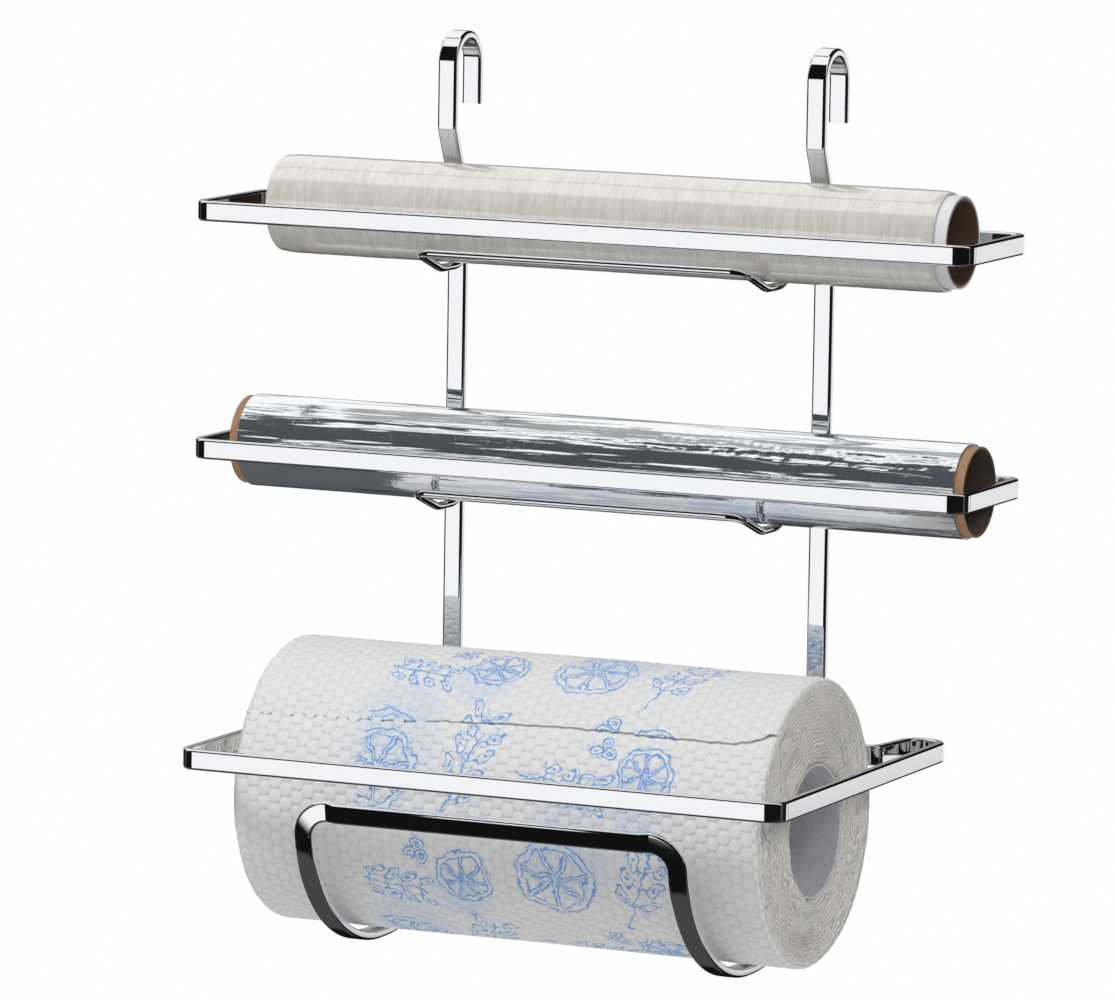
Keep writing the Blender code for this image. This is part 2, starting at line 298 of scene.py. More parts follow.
def make_world():
    world = bpy.data.worlds.new("chrome_studio")
    world.use_nodes = True
    tree = world.node_tree
    tree.nodes.clear()
    direction = parts_of(tree, add_node(tree, "ShaderNodeTexCoord").outputs["Generated"])
    forward = times(tree, direction["Y"], -1.0)
    pitch = sum_of(tree, "DEGREES", sum_of(tree, "ARCTAN2", direction["Z"], forward))
    panels = times(tree, make_panels(tree, direction["X"], pitch), panel_level)
    ground = window(tree, pitch, *ground_pitch, ground_softness)
    level = larger(tree, panels, times_plus(tree, ground, ground_level, dark_level))
    path = add_node(tree, "ShaderNodeLightPath").outputs
    mirrored = larger(tree, path["Is Glossy Ray"], path["Is Transmission Ray"])
    lit = add_node(tree, "ShaderNodeMix", {0: mirrored, 2: soft_grey, 3: level}, data_type="FLOAT")
    inputs = {0: path["Is Camera Ray"], 2: lit.outputs[0], 3: 1.0}
    seen = add_node(tree, "ShaderNodeMix", inputs, data_type="FLOAT")
    white = {"Color": (1.0, 1.0, 1.0, 1.0), "Strength": seen.outputs[0]}
    background = add_node(tree, "ShaderNodeBackground", white)
    add_node(tree, "ShaderNodeOutputWorld", {"Surface": background.outputs[0]})
    bpy.context.scene.world = world


make_world()
bpy.context.scene.view_settings.view_transform = "Standard"
print("world panels in place")

# %% [markdown]
# Two big soft lamps do the work on the matt surfaces. The key stands high on the left, so that the
# paper's embossing throws its little shadows down to the right. The lamps are left out of mirror
# reflections, because the world's panels already stand for them there.

# %% Lamps
lamps = [
    ("key_lamp", (-1.1, -1.6, 1.7), 0.8, 38.0),
    ("side_lamp", (2.9, -0.6, 1.6), 1.0, 34.0),
]


def make_lamp(name, place, width, power):
    bpy.ops.object.light_add(type="AREA", location=place)
    lamp = bpy.context.object
    lamp.name = name
    lamp.data.shape = "SQUARE"
    lamp.data.size = width
    lamp.data.energy = power
    lamp.visible_glossy = False
    lamp.rotation_euler = (camera_aim - Vector(place)).to_track_quat("-Z", "Y").to_euler()
    return lamp


for values in lamps:
    make_lamp(*values)
print(len(lamps), "lamps")

# %% [markdown]
# The holder hangs, so the floor lies well below it. It is a disc, pale and matt, that fades into
# the white of the world towards its rim, so that no edge shows from any side.

# %% Floor
floor_drop = 0.35
floor_radius = 1.1
floor_sides = 96
floor_fade = (0.45, 1.05)
floor_colour = (0.86, 0.86, 0.86, 1.0)


def make_floor():
    bpy.ops.object.select_all(action="DESELECT")
    bpy.ops.mesh.primitive_circle_add(
        vertices=floor_sides, radius=floor_radius, fill_type="NGON",
        location=(0, 0, solids_box[0][2] - floor_drop),
    )
    floor = bpy.context.object
    floor.name = "floor"
    floor.visible_glossy = False
    material, tree, shader = new_material("pale_floor", {"Roughness": 0.9, "Base Color": floor_colour})
    place = object_place(tree)
    fade = ramp_between(tree, length_of(tree, place), *floor_fade)
    plug_in(tree, shader, {"Normal": bump_of(tree, noise(tree, place, 40.0), 0.05, 0.001)})
    white = add_node(tree, "ShaderNodeEmission", {"Color": (1.0, 1.0, 1.0, 1.0), "Strength": 1.0})
    mix_shaders(tree, fade, shader, white)
    floor.data.materials.append(material)
    return floor


floor = make_floor()
print("floor at", round(floor.location.z, 3))

# %% [markdown]
# Real chrome on a wire good is bright but not perfect: a faint waviness from the bar's drawing, and
# a thin haze where it has been wiped. Both are so weak that they show only as soft wobbles at the
# edge of a reflection. The bar and the wire share them, so they are a node group with inputs.

# %% Polished steel
chrome_colour = (0.90, 0.91, 0.93, 1.0)


def new_group(name, ins, outs):
    """An empty node group with its named inputs and outputs."""
    group = bpy.data.node_groups.new(name, "ShaderNodeTree")
    for title, kind, value in ins:
        socket = group.interface.new_socket(name=title, in_out="INPUT", socket_type=kind)
        if value is not None:
            socket.default_value = value
    for title, kind in outs:
        group.interface.new_socket(name=title, in_out="OUTPUT", socket_type=kind)
    return group, group.nodes.new("NodeGroupInput"), group.nodes.new("NodeGroupOutput")


def make_polish_group():
    group, given, result = new_group(
        "polish",
        [
            ("Waviness", "NodeSocketFloat", 0.02),
            ("Haze", "NodeSocketFloat", 0.03),
            ("Clean", "NodeSocketFloat", 0.03),
        ],
        [("Roughness", "NodeSocketFloat"), ("Normal", "NodeSocketVector")],
    )
    place = object_place(group)
    drawn = noise(group, place, 45.0, 1.0)
    wiped = ramp_between(group, noise(group, place, 120.0, 4.0), 0.5, 0.75)
    plug_in(group, result, {
        "Roughness": times_plus(group, wiped, given.outputs["Haze"], given.outputs["Clean"]),
        "Normal": bump_of(group, drawn, given.outputs["Waviness"], 0.002),
    })
    return group


polish_group = make_polish_group()


def make_chrome(name, waviness, haze):
    material, tree, shader = new_material(name, {"Base Color": chrome_colour, "Metallic": 1.0})
    inputs = {"Waviness": waviness, "Haze": haze}
    polish = add_node(tree, "ShaderNodeGroup", inputs, node_tree=polish_group)
    plug_in(tree, shader, {socket: polish.outputs[socket] for socket in ("Roughness", "Normal")})
    return material


bar_chrome = make_chrome("bar_chrome", 0.03, 0.03)
wire_chrome = make_chrome("wire_chrome", 0.05, 0.04)
print("chrome ready")

# %% [markdown]
# Every bar of the holder is one length of stock, bent cold. The same is done here: the stock's
# section starts as a small plane with rounded corners, and is extruded along each straight and
# spun round each bend, as a bender would feed it. A curve with a bevel would be quicker, but it
# tapers in tight bends, while a spun section keeps its true thickness.

# %% Bending bars and wires
bar_width = 8.0 * MM
bar_thickness = 3.6 * MM
bar_edge = 1.1 * MM
bar_edge_segments = 6
wire_diameter = 3.2 * MM
wire_sides = 24
bend_step = math.radians(3.0)


def start_section(kind, place, along, broad):
    """An outline of the stock, set square to its first direction, and left in edit mode."""
    bpy.ops.object.select_all(action="DESELECT")
    if kind == "bar":
        bpy.ops.mesh.primitive_plane_add(size=1.0)
        bpy.ops.object.mode_set(mode="EDIT")
        bpy.ops.transform.resize(value=(bar_width, bar_thickness, 1.0))
        bpy.ops.mesh.bevel(offset=bar_edge, segments=bar_edge_segments, affect="VERTICES")
        bpy.ops.mesh.select_all(action="SELECT")
        bpy.ops.mesh.delete(type="ONLY_FACE")
    else:
        bpy.ops.mesh.primitive_circle_add(vertices=wire_sides, radius=wire_diameter / 2)
        bpy.ops.object.mode_set(mode="EDIT")
    bpy.ops.object.mode_set(mode="OBJECT")
    piece = bpy.context.object
    axes = Matrix((broad, along.cross(broad), along)).transposed().to_4x4()
    piece.data.transform(Matrix.Translation(place) @ axes)
    bpy.ops.object.mode_set(mode="EDIT")
    bpy.ops.mesh.select_all(action="SELECT")
    return piece


# %% [markdown]
# A bender works in moves: feed so much stock straight, then turn it by an angle round a former of
# some radius. Each move here is such a line of numbers, with the axis that the bend turns about.

# %% Feeding the stock
def feed(piece, name, place, along, moves, closed, material):
    """Extrude and spin the section through the moves: (straight, turn, radius, axis) each."""
    length = 0.0
    for straight, turn, radius, axis in moves:
        if straight > 0:
            bpy.ops.mesh.extrude_region_move(TRANSFORM_OT_translate={"value": along * straight})
            place = place + along * straight
        if turn > 0:
            centre = place + axis.cross(along) * radius
            steps = max(2, math.ceil(turn / bend_step))
            bpy.ops.mesh.spin(steps=steps, angle=-turn, center=centre, axis=axis)
            spun = Matrix.Rotation(turn, 3, axis)
            place = centre + spun @ (place - centre)
            along = spun @ along
        length += straight + turn * radius
    bpy.ops.mesh.select_all(action="SELECT")
    bpy.ops.mesh.remove_doubles(threshold=bar_edge / 20)
    if not closed:
        bpy.ops.mesh.select_all(action="DESELECT")
        bpy.ops.mesh.select_non_manifold()
        bpy.ops.mesh.edge_face_add()
    bpy.ops.mesh.select_all(action="SELECT")
    bpy.ops.mesh.normals_make_consistent(inside=False)
    bpy.ops.object.mode_set(mode="OBJECT")
    bpy.ops.object.shade_smooth_by_angle(angle=math.radians(40.0))
    bpy.ops.object.modifier_add(type="WEIGHTED_NORMAL")
    piece.modifiers[0].keep_sharp = True
    bpy.ops.object.modifier_apply(modifier=piece.modifiers[0].name)
    piece.name = name
    piece.data.name = name
    piece.data.materials.append(material)
    print(name, "of", round(length / MM), "mm of stock,", len(piece.data.polygons), "faces")
    return piece


def bend_stock(name, kind, place, along, broad, moves, material, closed=False):
    piece = start_section(kind, place, along, broad)
    feed(piece, name, place, along, moves, closed, material)
    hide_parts(name)
    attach(piece, "holder")
    return piece


LEFT = Vector((-1, 0, 0))
RIGHT = Vector((1, 0, 0))
DOWN = Vector((0, 0, -1))
UP = Vector((0, 0, 1))
quarter = math.pi / 2

# %% [markdown]
# An upright starts at the short rear leg of its hook, goes up and over a half circle, down the
# front leg, and steps back through two opposite kinks, so that the long straight part hangs in
# line with the hook's middle. All of it is one bar, bent the easy way, over its thin side.

# %% Hooks and uprights
hook_line_radius = 11.3 * MM
hook_kink = math.radians(24.0)
hook_kink_radius = 7.0 * MM
hook_front_leg = 34.5 * MM
hook_rear_leg = 26.2 * MM


def make_upright(name):
    low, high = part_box(name)
    middle = (low[0] + high[0]) / 2
    kink_tangent = hook_kink_radius * math.tan(hook_kink / 2)
    step = hook_line_radius / math.sin(hook_kink)
    kink_end = hook_front_leg + hook_line_radius / math.tan(hook_kink)
    start = Vector((middle, hook_line_radius, -hook_rear_leg))
    arch_base = bar_thickness / 2 - hook_line_radius
    moves = [
        (arch_base + hook_rear_leg, 2 * quarter, hook_line_radius, RIGHT),
        (hook_front_leg + arch_base - kink_tangent, hook_kink, hook_kink_radius, RIGHT),
        (step - 2 * kink_tangent, hook_kink, hook_kink_radius, LEFT),
        (-low[2] - kink_end - kink_tangent, 0, 0, RIGHT),
    ]
    return bend_stock(name, "bar", start, UP, RIGHT, moves, bar_chrome)


for name in ("left_upright", "right_upright"):
    make_upright(name)

# %% [markdown]
# The rings are closed loops, bent the easy way with the bar standing on edge. Their front bar is
# what the sheet is torn against. The slim rings are plain rectangles. The paper ring's rear corners
# run on backwards into narrow ears, which rest on the wall and keep the whole holder off it.

# %% Rings
ring_corner = 7.5 * MM
ear_turn_radius = 7.8 * MM
ear_root = 3.7 * MM
ear_lean = math.radians(10.0)
ring_back_line = -3.9 * MM


def make_slim_ring(name):
    low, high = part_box(name)
    middle_z = (low[2] + high[2]) / 2
    radius = ring_corner - bar_thickness / 2
    half = (high[0] - low[0] - bar_thickness) / 2
    depth = high[1] - low[1] - bar_thickness
    start = Vector((0, high[1] - bar_thickness / 2, middle_z))
    moves = [
        (half - radius, quarter, radius, DOWN),
        (depth - 2 * radius, quarter, radius, DOWN),
        (2 * (half - radius), quarter, radius, DOWN),
        (depth - 2 * radius, quarter, radius, DOWN),
        (half - radius, 0, 0, DOWN),
    ]
    return bend_stock(name, "bar", start, RIGHT, UP, moves, bar_chrome, closed=True)


def make_paper_ring():
    low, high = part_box("paper_ring")
    middle_z = (low[2] + high[2]) / 2
    radius = ring_corner - bar_thickness / 2
    half = (high[0] - low[0] - bar_thickness) / 2
    ear_line = high[1] - bar_thickness / 2
    front_line = low[1] + bar_thickness / 2
    tip_turn = quarter + quarter - ear_lean
    lean_turn = quarter - ear_lean
    ear_corner = half - ear_turn_radius * (1 + math.tan(lean_turn / 2))
    rise = ear_line - ring_back_line
    root_corner = ear_corner - rise * math.tan(ear_lean)
    root_tangent = ear_root * math.tan(lean_turn / 2)
    leg = rise / math.cos(ear_lean) - ear_turn_radius * math.tan(lean_turn / 2) - root_tangent
    side = ear_line - front_line - ear_turn_radius - radius
    start = Vector((0, ring_back_line, middle_z))
    half_back = root_corner - root_tangent
    moves = [
        (half_back, lean_turn, ear_root, UP),
        (leg, tip_turn, ear_turn_radius, DOWN),
        (side, quarter, radius, DOWN),
        (2 * (half - radius), quarter, radius, DOWN),
        (side, tip_turn, ear_turn_radius, DOWN),
        (leg, lean_turn, ear_root, UP),
        (half_back, 0, 0, DOWN),
    ]
    return bend_stock("paper_ring", "bar", start, RIGHT, UP, moves, bar_chrome, closed=True)


for name in ("film_ring", "foil_ring"):
    make_slim_ring(name)
make_paper_ring()

# %% [markdown]
# Under each slim roll a round wire makes a shallow tray: two legs come down behind the roll, pass
# below it and climb a little, and a straight runs across in front. The paper needs more, so its
# cradle is the same flat bar as the uprights, bent under the roll and then edgewise at two corners.
# Bending a bar edgewise twists it a little, so the outer rim of each corner is leaned over
# afterwards, more at the left than at the right.

# %% Cradles
wire_bend = 17.0 * MM
wire_corner = 6.0 * MM
wire_floor = 8.5 * MM
wire_ramp = math.radians(20.0)
cradle_bend = 65.0 * MM
cradle_floor = 5.0 * MM
cradle_corner = 11.0 * MM
cradle_lip = math.radians(15.0)
corner_tilt = {-1: 0.16, 1: 0.0992}
corner_run = 4 * MM
corner_ease = 3 * MM


def make_wire_cradle(name):
    low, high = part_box(name)
    half = (high[0] - low[0] - wire_diameter) / 2
    back_line = high[1] - wire_diameter / 2
    lip_line = low[1] + wire_diameter / 2
    ramp_tangent = wire_bend * math.tan(wire_ramp / 2)
    run = back_line - lip_line - wire_bend - wire_floor - ramp_tangent
    ramp = run / math.cos(wire_ramp) - ramp_tangent - wire_corner
    drop = high[2] - low[2] - wire_diameter / 2 - wire_bend
    up_ramp = Vector((0, -math.cos(wire_ramp), math.sin(wire_ramp)))
    plane_up = up_ramp.cross(RIGHT)
    start = Vector((-half, back_line, high[2]))
    moves = [
        (drop, quarter, wire_bend, LEFT),
        (wire_floor, wire_ramp, wire_bend, LEFT),
        (ramp, quarter, wire_corner, plane_up),
        (2 * (half - wire_corner), quarter, wire_corner, plane_up),
        (ramp, wire_ramp, wire_bend, RIGHT),
        (wire_floor, quarter, wire_bend, RIGHT),
        (drop, 0, 0, RIGHT),
    ]
    return bend_stock(name, "wire", start, DOWN, RIGHT, moves, wire_chrome)


def make_paper_cradle():
    low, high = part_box("paper_cradle")
    half = (high[0] - low[0] - bar_width) / 2
    back_line = high[1] - bar_thickness / 2
    drop = high[2] - low[2] - bar_thickness / 2 - cradle_bend
    lip_turn = quarter - cradle_lip
    lip_up = Vector((0, -math.sin(cradle_lip), math.cos(cradle_lip)))
    lip_out = lip_up.cross(RIGHT)
    start = Vector((-half, back_line, high[2]))
    moves = [
        (drop, quarter, cradle_bend, LEFT),
        (cradle_floor, lip_turn, cradle_bend, LEFT),
        (0, quarter, cradle_corner, lip_out),
        (corner_run, 0, 0, lip_out),
        (2 * (half - cradle_corner - corner_run), 0, 0, lip_out),
        (corner_run, quarter, cradle_corner, lip_out),
        (0, lip_turn, cradle_bend, RIGHT),
        (cradle_floor, quarter, cradle_bend, RIGHT),
        (drop, 0, 0, RIGHT),
    ]
    cradle = bend_stock("paper_cradle", "bar", start, DOWN, RIGHT, moves, bar_chrome)
    top = cradle_bend * (1 - math.sin(cradle_lip)) - cradle_corner * math.cos(cradle_lip)
    for side, tilt in corner_tilt.items():
        pivot = Vector((side * (half - cradle_corner), 0, low[2] + bar_thickness / 2 + top))
        for vertex in cradle.data.vertices:
            away = vertex.co - pivot
            above = away.z + corner_run
            beside = side * away.x + corner_ease
            if vertex.co.y <= -cradle_bend and above >= 0 and beside >= 0:
                share = min(1.0, above / corner_run) * min(1.0, beside / corner_ease)
                reach = Vector((away.x, away.z)).length
                vertex.co += lip_out * (tilt * share * (reach - cradle_corner))
    return cradle


for name in ("film_cradle", "foil_cradle"):
    make_wire_cradle(name)
make_paper_cradle()

# %% [markdown]
# The rolls turn at a fingertip's push, so each rides on a body of its own. A roll is a turned
# form at heart: the section of its wall, a thin rectangle with rounded corners, is spun a full
# turn round the axis. The section's edges are cut into short pieces first, so that skin and ends
# have enough points to be pushed out of true afterwards, as wound sheets always are.

# %% Spinning tubes
def roll_axis(joint):
    """A point on the axis that a roll turns on."""
    return next(Vector(entry["pos_m"]) for entry in frame["joints"] if entry["name"] == joint)


def cut_edges(piece, count, wanted):
    """Cut the edges whose two end points pass a test into shorter ones."""
    bpy.ops.object.mode_set(mode="OBJECT")
    points = piece.data.vertices
    for edge in piece.data.edges:
        edge.select = wanted(*(points[index].co for index in edge.vertices))
    bpy.ops.object.mode_set(mode="EDIT")
    bpy.ops.mesh.subdivide(number_cuts=count)


def spin_tube(name, centre, span, radii, rounding, steps, skin_cuts=0, end_cuts=0):
    """A closed tube along X, from span[0] to span[1] and from the one radius to the other."""
    bpy.ops.object.select_all(action="DESELECT")
    bpy.ops.mesh.primitive_plane_add(size=1.0)
    piece = bpy.context.object
    bpy.ops.object.mode_set(mode="EDIT")
    bpy.ops.mesh.select_mode(type="EDGE")
    bpy.ops.transform.resize(value=(span[1] - span[0], radii[1] - radii[0], 1.0))
    bpy.ops.mesh.bevel(offset=rounding, segments=3, affect="VERTICES")
    bpy.ops.mesh.select_all(action="SELECT")
    bpy.ops.mesh.delete(type="ONLY_FACE")
    if skin_cuts:
        cut_edges(piece, skin_cuts, lambda a, b: a.y > 0 and b.y > 0 and abs(a.x - b.x) > 3 * rounding)
    if end_cuts:
        cut_edges(piece, end_cuts, lambda a, b: a.x * b.x > 0 and abs(a.y - b.y) > 3 * rounding)
    bpy.ops.object.mode_set(mode="OBJECT")
    place = Vector(((span[0] + span[1]) / 2, centre.y + (radii[0] + radii[1]) / 2, centre.z))
    piece.data.transform(Matrix.Translation(place))
    bpy.ops.object.mode_set(mode="EDIT")
    bpy.ops.mesh.select_all(action="SELECT")
    bpy.ops.mesh.spin(steps=steps, angle=2 * math.pi, center=centre, axis=(1, 0, 0))
    bpy.ops.mesh.select_all(action="SELECT")
    bpy.ops.mesh.remove_doubles(threshold=rounding / 20)
    bpy.ops.mesh.normals_make_consistent(inside=False)
    bpy.ops.object.mode_set(mode="OBJECT")
    bpy.ops.object.shade_smooth_by_angle(angle=math.radians(50.0))
    piece.name = name
    piece.data.name = name
    print(name, "has", len(piece.data.polygons), "faces")
    return piece


def wall_of(node, joint):
    """A tube's axis, its two ends and its outer radius, from its solid."""
    low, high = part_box(node)
    centre = roll_axis(joint)
    return centre, (low[0], high[0]), max(high[1] - low[1], high[2] - low[2]) / 2


# %% [markdown]
# Nothing wound is perfectly round or straight. These helpers read a mesh's points, hand them to a
# rule as a place along the roll, a distance from its axis and an angle round it, and put them back
# where the rule says. The rules add soft ripples. A ripple is a sum of sine waves in random
# directions, always the same ones for the same seed, so that the roll comes out alike each time.

# %% Ripples
usual_peak = 1.6


def points_of(piece):
    flat = np.empty(len(piece.data.vertices) * 3)
    piece.data.vertices.foreach_get("co", flat)
    return flat.reshape(-1, 3)


def put_points(piece, points):
    piece.data.vertices.foreach_set("co", np.ascontiguousarray(points).ravel())
    piece.data.update()


def rumple(seed, *fields, waves=9):
    """Ripples of about one in height; two pi in a field is one wave of middling length."""
    dice = np.random.default_rng(seed)
    total = 0.0
    for _ in range(waves):
        slopes = dice.normal(size=len(fields))
        phase = sum(slope * field for slope, field in zip(slopes, fields))
        total = total + np.sin(phase + dice.uniform(0, 2 * math.pi))
    return total * math.sqrt(2 / waves) / usual_peak


def smooth_step(value, low, high):
    share = np.clip((value - low) / (high - low), 0, 1)
    return share * share * (3 - 2 * share)


def reshape(piece, centre, rule):
    """Move points by a rule on their place along, distance out and angle; 0 is front, 90 is up."""
    points = points_of(piece)
    back = points[:, 1] - centre.y
    up = points[:, 2] - centre.z
    angle = np.arctan2(up, -back)
    along, far, drop = rule(points[:, 0], np.hypot(back, up), angle)
    back = centre.y - far * np.cos(angle)
    put_points(piece, np.stack((along, back, centre.z + far * np.sin(angle) - drop), 1))


def finish_roll_piece(piece, body, slot, material, *nodes):
    piece.data.materials.append(material)
    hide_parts(*nodes)
    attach(piece, body)
    return piece


# %% [markdown]
# All three cores are spiral-wound board. The board is grey pulp with short fibres, and a fine
# line runs round it as a screw where one strip meets the next. It is one node group, because
# each core needs it with its own two colours: the outside and the inside are different papers,
# and the dark inside colours of the film and foil cores are also painted shade deep in the bore.

# %% Core board
def sawtooth(tree, value):
    """Climb from minus a half to a half, and again for each whole number."""
    return minus(tree, sum_of(tree, "FRACT", value), 0.5)


def turns_of(tree, up, across):
    """A direction in turns, from none to a half either way."""
    return sum_of(tree, "DIVIDE", sum_of(tree, "ARCTAN2", up, across), 2 * math.pi)


def vector_of(tree, operation, *values):
    """A Vector Math node's result."""
    return add_node(tree, "ShaderNodeVectorMath", dict(enumerate(values)), operation=operation).outputs[0]


def mix_colours(tree, share, first, second):
    inputs = {0: share, 6: first, 7: second}
    return add_node(tree, "ShaderNodeMix", inputs, data_type="RGBA").outputs[2]


def on_roll(tree, place, centre):
    """A place on a roll: its way along, its distance from the axis and its turn round it."""
    along, back, up = parts_of(tree, vector_of(tree, "SUBTRACT", place, centre))
    far = sum_of(tree, "SQRT", plus(tree, times(tree, back, back), times(tree, up, up)))
    return along, far, turns_of(tree, up, back)


def make_board_group():
    group, given, result = new_group(
        "core_board",
        [
            ("Centre", "NodeSocketVector", None),
            ("Wall", "NodeSocketFloat", 0.017),
            ("Strip", "NodeSocketFloat", 0.09),
            ("Outside", "NodeSocketColor", None),
            ("Inside", "NodeSocketColor", None),
        ],
        [("Color", "NodeSocketColor"), ("Height", "NodeSocketFloat")],
    )
    place = object_place(group)
    along, far, turn = on_roll(group, place, given.outputs["Centre"])
    strip = plus(group, sum_of(group, "DIVIDE", along, given.outputs["Strip"]), turn)
    seam = sum_of(group, "ABSOLUTE", sawtooth(group, strip))
    line = ramp_between(group, seam, 0.0, 0.006, 1.0, 0.0)
    fibres = noise(group, place, 900.0, 3.0)
    clouds = noise(group, place, 90.0)
    inwards = minus(group, far, given.outputs["Wall"])
    outer = ramp_between(group, inwards, -0.4 * MM, -0.2 * MM)
    # Inside and outside papers; in the film and foil cores the inside colour is darkened as painted shade
    # in the bore.
    paper = mix_colours(group, outer, given.outputs["Inside"], given.outputs["Outside"])
    speckle = times_plus(group, fibres, 0.5, times(group, clouds, 0.35))
    shade = ramp_between(group, speckle, 0.2, 0.65, 0.78, 1.12)
    inputs = {0: paper, "Scale": times_plus(group, line, -0.35, shade)}
    toned = add_node(group, "ShaderNodeVectorMath", inputs, operation="SCALE")
    plug_in(group, result, {"Color": toned.outputs[0], "Height": minus(group, fibres, line)})
    return group


board_group = make_board_group()
print("board pattern of", len(board_group.nodes), "nodes")


def make_board(name, centre, wall, outside, inside, strip):
    material, tree, shader = new_material(name, {"Roughness": 0.85})
    inputs = {
        "Centre": centre, "Wall": wall, "Strip": strip,
        "Outside": (*outside, 1.0), "Inside": (*inside, 1.0),
    }
    board = add_node(tree, "ShaderNodeGroup", inputs, node_tree=board_group)
    bump = bump_of(tree, board.outputs["Height"], 0.35, 0.4 * MM)
    plug_in(tree, shader, {"Base Color": board.outputs["Color"], "Normal": bump})
    return material


# %% [markdown]
# Each core is a tube of that board. They all have walls a little over a millimetre thick, and each
# has its own papers outside and inside. The film and foil cores' dark inside colours are partly
# painted shade for the inside of the bore.

# %% Cores
core_sides = 96


def make_core(node, joint, body, slot, wall, outside, inside, strip):
    centre, span, outer = wall_of(node, joint)
    low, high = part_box(node)
    centre = Vector((centre.x, (low[1] + high[1]) / 2, (low[2] + high[2]) / 2))
    core = spin_tube(node, centre, span, (outer - wall, outer), 0.25 * MM, core_sides)
    material = make_board(node + "_board", centre, outer, outside, inside, strip)
    return finish_roll_piece(core, body, slot, material, node)


# The film and foil cores' dark inside colours are partly painted shade for the deep bore.
cores = [
    ("film", 1.2 * MM, (0.40, 0.36, 0.33), (0.133, 0.078, 0.045), 0.11),
    ("foil", 1.2 * MM, (0.41, 0.25, 0.152), (0.12, 0.088, 0.066), 0.08),
    ("paper", 1.1 * MM, (0.60, 0.59, 0.60), (0.57, 0.56, 0.60), 0.13),
]
for kind, *looks in cores:
    make_core(kind + "_core", kind + "_roll_spin", kind + "_roll", kind + "_core_board", *looks)

# %% [markdown]
# The film's core wears a sleeve of white liner paper, seen where the film stops short of it. The
# wound film itself is clear, but hundreds of layers together turn a milky beige. Its skin is
# drawn into fine bands round the roll, and the edges of the layers step in a little at the ends.

# %% Film looks
liner_colours = ((0.74, 0.74, 0.77, 1.0), (0.80, 0.80, 0.82, 1.0))
film_colours = ((0.655, 0.63, 0.565, 1.0), (0.765, 0.745, 0.695, 1.0))


def make_liner():
    material, tree, shader = new_material("liner_paper", {"Roughness": 0.5})
    clouds = noise(tree, object_place(tree), 120.0, 3.0)
    plug_in(tree, shader, {
        "Base Color": mix_colours(tree, clouds, *liner_colours),
        "Normal": bump_of(tree, clouds, 0.15, 0.5 * MM),
    })
    return material


def drawn_noise(tree, place, scale, detail=2.0, turn=(0.0, 0.0, 0.0)):
    """Noise drawn out into streaks: each axis has its own scale."""
    drawn = add_node(tree, "ShaderNodeMapping", {"Vector": place, "Rotation": turn, "Scale": scale})
    return noise(tree, drawn.outputs[0], 1.0, detail)


def make_film_skin():
    """Milky film: fine bands round the roll under a glossy skin that is almost smooth."""
    material, tree, shader = new_material("wound_film", {
        "Roughness": 0.2, "IOR": 1.6, "Coat Weight": 1.0, "Coat Roughness": 0.04, "Coat IOR": 2.0,
    })
    place = object_place(tree)
    bands = drawn_noise(tree, place, (1500.0, 110.0, 110.0), 3.0)
    patches = drawn_noise(tree, place, (420.0, 70.0, 70.0))
    folds = drawn_noise(tree, place, (500.0, 25.0, 60.0), turn=(0.0, 0.6, 0.35))
    tone = times_plus(tree, bands, 0.6, times(tree, patches, 0.4))
    height = times_plus(tree, ramp_between(tree, folds, 0.66, 0.74), 1.2, tone)
    plug_in(tree, shader, {
        "Base Color": mix_colours(tree, ramp_between(tree, tone, 0.38, 0.62), *film_colours),
        "Normal": bump_of(tree, height, 0.45, 0.5 * MM),
        "Coat Normal": bump_of(tree, height, 0.12, 0.5 * MM),
    })
    return material


# %% [markdown]
# Sleeve and winding are two tubes. The winding's skin is cut into some three hundred narrow
# bands, so that the layers can step at the left and round off at the right.

# %% Film roll
sleeve_wall = 0.6 * MM
film_wall = 1.4 * MM
film_bands = 340
roll_sides = 120


def make_film_roll():
    centre, span, outer = wall_of("film_core_sleeve", "film_roll_spin")
    radii = (outer - sleeve_wall, outer)
    sleeve = spin_tube("film_core_sleeve", centre, span, radii, 0.15 * MM, core_sides)
    finish_roll_piece(sleeve, "film_roll", "film_core_liner", make_liner(), "film_core_sleeve")
    centre, span, outer = wall_of("film_winding", "film_roll_spin")
    radii = (outer - film_wall, outer)
    winding = spin_tube("film_winding", centre, span, radii, 0.3 * MM, roll_sides, skin_cuts=film_bands)

    def film_shape(along, far, angle):
        skin = smooth_step(far, outer - 0.6 * MM, outer - 0.3 * MM)
        left = (along - span[0]) / MM
        right = (span[1] - along) / MM
        steps = 0.45 * np.exp(-left / 3.5) * (1 + 0.5 * np.sin(left * 2 * math.pi / 1.5))
        rim = 0.35 * smooth_step(right, 2.2, 0.2)
        bands = 0.035 * rumple(5, along / (0.5 * MM), np.cos(angle), np.sin(angle))
        sag = 0.05 * rumple(6, along / (12 * MM), 2 * np.cos(angle), 2 * np.sin(angle))
        inwards = steps + rim + 0.1 + bands + sag
        return along, far - skin * inwards * MM, 0

    reshape(winding, centre, film_shape)
    finish_roll_piece(winding, "film_roll", "cling_film", make_film_skin(), "film_winding")


make_film_roll()

# %% [markdown]
# Foil and paper end in a free edge, torn off along the bar. A tube can't have one, so the outer
# turn is a sheet of its own: a flat grid is wrapped once round the roll, a little more than a
# full turn, with each turn a touch smaller than the one before. At the free edge the grid folds
# under itself, which gives the sheet a thickness where it can be seen. The wrap is worked out
# point by point, because no modelling operator winds a sheet on itself.

# %% Wrapping a sheet
uv_unit = 100 * MM


